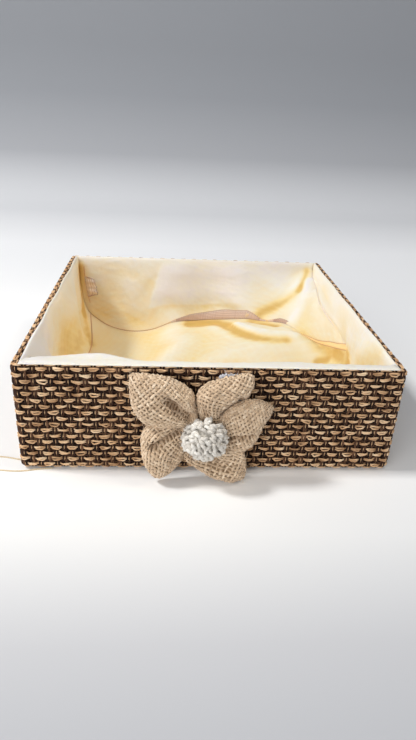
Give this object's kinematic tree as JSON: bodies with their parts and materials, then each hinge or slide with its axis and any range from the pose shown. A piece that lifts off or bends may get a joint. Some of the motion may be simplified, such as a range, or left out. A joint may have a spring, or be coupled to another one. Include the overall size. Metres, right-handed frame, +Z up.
{
  "type": "flower girl basket",
  "caption": "Open square tray basket of stiff board in woven paper straw, with a loose ivory satin lining and a burlap flower with a white yarn centre on the front",
  "frame": {"origin": "middle of the flat underside, at the height of the surface it stands on", "axes": "+Z up, +X to the right and -Y towards a person who looks at the flowered front"},
  "size_m": [0.2876, 0.2656, 0.0753],
  "materials": {
    "greyboard": "plain greyboard, cut edges",
    "paper_tape": "kraft paper tape, matte",
    "paper_straw": "woven cloth of twisted tan and dark brown paper straws, low sheen",
    "seam_thread": "tan cotton sewing thread",
    "satin_lining": "ivory satin, soft sheen",
    "overlock_thread": "mauve-brown overlock thread, several rows of stitches",
    "burlap": "open plain-weave jute burlap, matte",
    "yarn": "white cotton yarn, knitted in loops",
    "felt": "pale grey felt",
    "glue": "set hot-melt glue"
  },
  "bodies": {
    "root": {"base_board": "greyboard", "front_board": "greyboard", "back_board": "greyboard", "left_board": "greyboard", "right_board": "greyboard", "corner_tape_front_left": "paper_tape", "corner_tape_front_right": "paper_tape", "corner_tape_back_left": "paper_tape", "corner_tape_back_right": "paper_tape", "woven_wrap": "paper_straw", "woven_bottom": "paper_straw", "rim_seam_thread": "seam_thread", "bottom_seam_thread": "seam_thread", "lining_front": "satin_lining", "lining_back": "satin_lining", "lining_left": "satin_lining", "lining_right": "satin_lining", "lining_base": "satin_lining", "overlock_base_front": "overlock_thread", "overlock_base_back": "overlock_thread", "overlock_base_left": "overlock_thread", "overlock_base_right": "overlock_thread", "overlock_corner_front_left": "overlock_thread", "overlock_corner_front_right": "overlock_thread", "overlock_corner_back_left": "overlock_thread", "overlock_corner_back_right": "overlock_thread", "petal_top_left": "burlap", "petal_top_right": "burlap", "petal_right": "burlap", "petal_bottom_right": "burlap", "petal_bottom_left": "burlap", "yarn_centre": "yarn", "petal_gather_thread": "seam_thread", "felt_backing": "felt", "flower_glue": "glue", "thread_tail_upper": "seam_thread", "thread_tail_lower": "seam_thread"}
  },
  "joints": []
}
